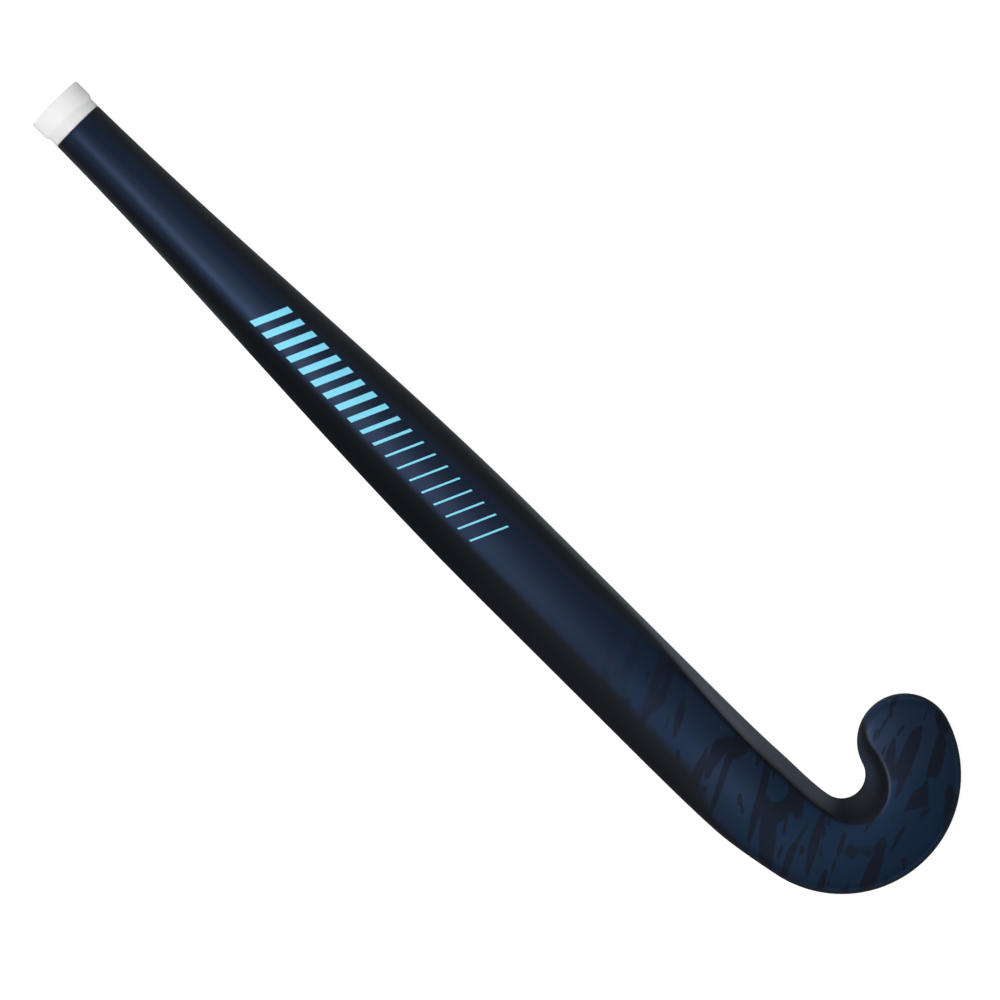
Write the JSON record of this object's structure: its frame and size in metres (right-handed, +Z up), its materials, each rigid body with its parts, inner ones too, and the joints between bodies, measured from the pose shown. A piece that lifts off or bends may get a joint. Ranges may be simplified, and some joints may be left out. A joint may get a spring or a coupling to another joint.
{
  "type": "field hockey goalkeeper stick",
  "caption": "Goalkeeper's field hockey stick with a tapering shaft, a hooked head with a scooped inner bevel, a flat playing face and a push-in butt cap.",
  "frame": {"origin": "middle of the stick's length and of its whole width, on the surface that it lies on", "axes": "+X along the stick from the butt to the head, +Y across it towards the toe, +Z up out of the rounded back; the flat playing face is underneath"},
  "size_m": [0.927, 0.199, 0.0489],
  "materials": {
    "shell_lacquer": "satin navy lacquer over laminate, with a tonal print on the head",
    "cap_plastic": "semi-gloss white moulding",
    "tube_laminate": "bare dark laminate",
    "light_foam": "cream foam",
    "plug_foam": "grey-brown closed-cell foam",
    "dense_core": "tan dense foam"
  },
  "bodies": {
    "root": {"outer_shell": "shell_lacquer", "end_cap": "cap_plastic", "handle_plug": "plug_foam", "heel_side_tube": "tube_laminate", "toe_side_tube": "tube_laminate", "heel_side_foam": "light_foam", "toe_side_foam": "light_foam", "head_core": "dense_core"}
  },
  "joints": []
}
